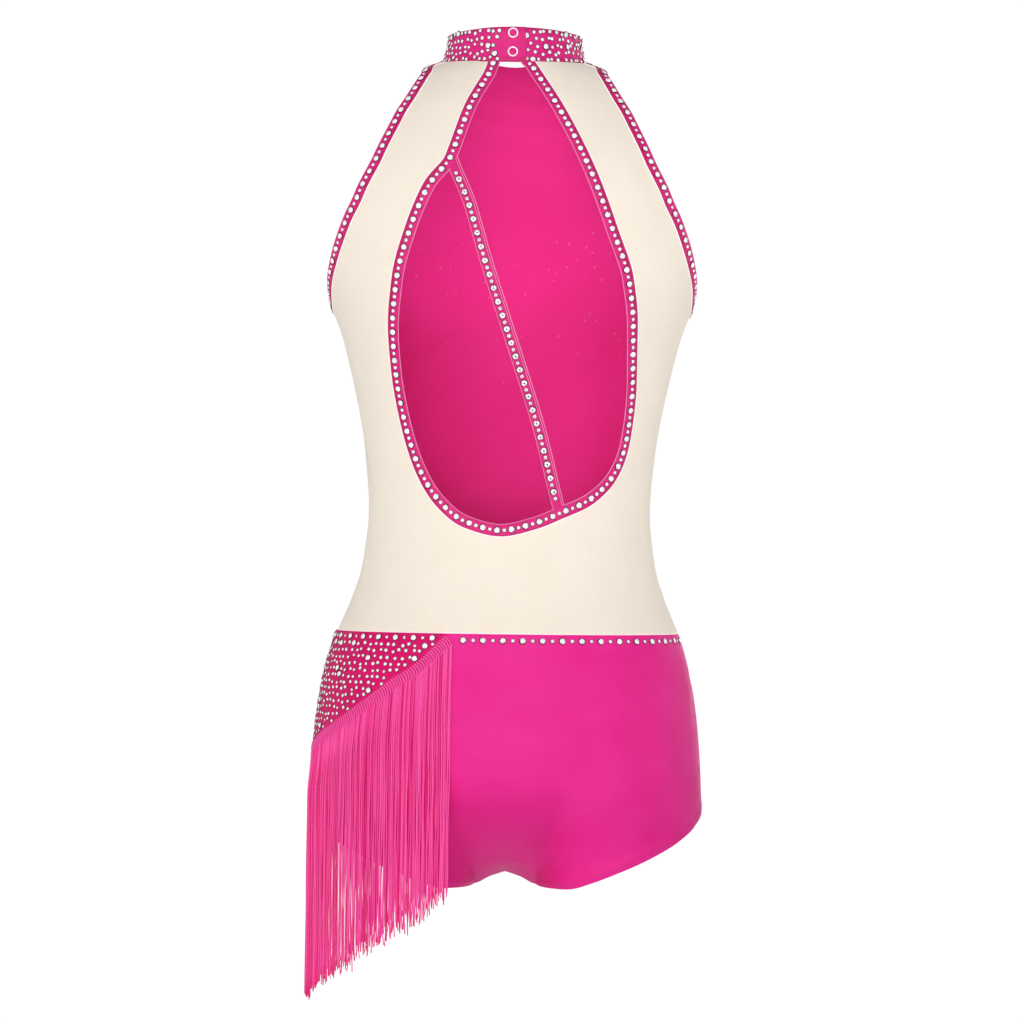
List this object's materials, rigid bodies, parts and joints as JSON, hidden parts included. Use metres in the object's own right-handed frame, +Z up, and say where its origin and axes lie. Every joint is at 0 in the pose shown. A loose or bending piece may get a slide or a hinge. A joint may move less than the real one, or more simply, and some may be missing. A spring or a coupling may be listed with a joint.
{
  "type": "skirted leotard",
  "caption": "Sleeveless halter leotard worn as a hollow shell, with a band collar, an open keyhole back crossed by a diagonal strap, and a slanted hip yoke with long fringe on one side.",
  "frame": {"origin": "centre of the neck seam, where a wearer's neck holds the garment up", "axes": "+Z up along the wearer's body, +Y to the wearer's front, +X to the wearer's right"},
  "size_m": [0.3241, 0.2303, 0.7919],
  "materials": {
    "pink_satin": "satin-faced stretch knit, hot pink",
    "deep_satin": "satin-faced stretch knit, hot pink, its matt reverse shows inside",
    "pink_band": "doubled stretch knit, hot pink, set with clear stones",
    "nude_mesh": "matt power mesh, cream nude",
    "fringe_yarn": "glossy twisted yarn, hot pink",
    "snap_metal": "nickel plate"
  },
  "bodies": {
    "root": {"collar_band": "pink_band", "snap_upper": "snap_metal", "snap_lower": "snap_metal", "front_bodice": "deep_satin", "back_mesh_panel": "nude_mesh", "keyhole_binding": "pink_band", "back_strap": "pink_band", "armhole_binding_left": "pink_band", "armhole_binding_right": "pink_band", "brief_back": "pink_satin", "brief_front": "pink_satin", "hip_yoke": "pink_band", "hip_fringe": "fringe_yarn"}
  },
  "joints": []
}
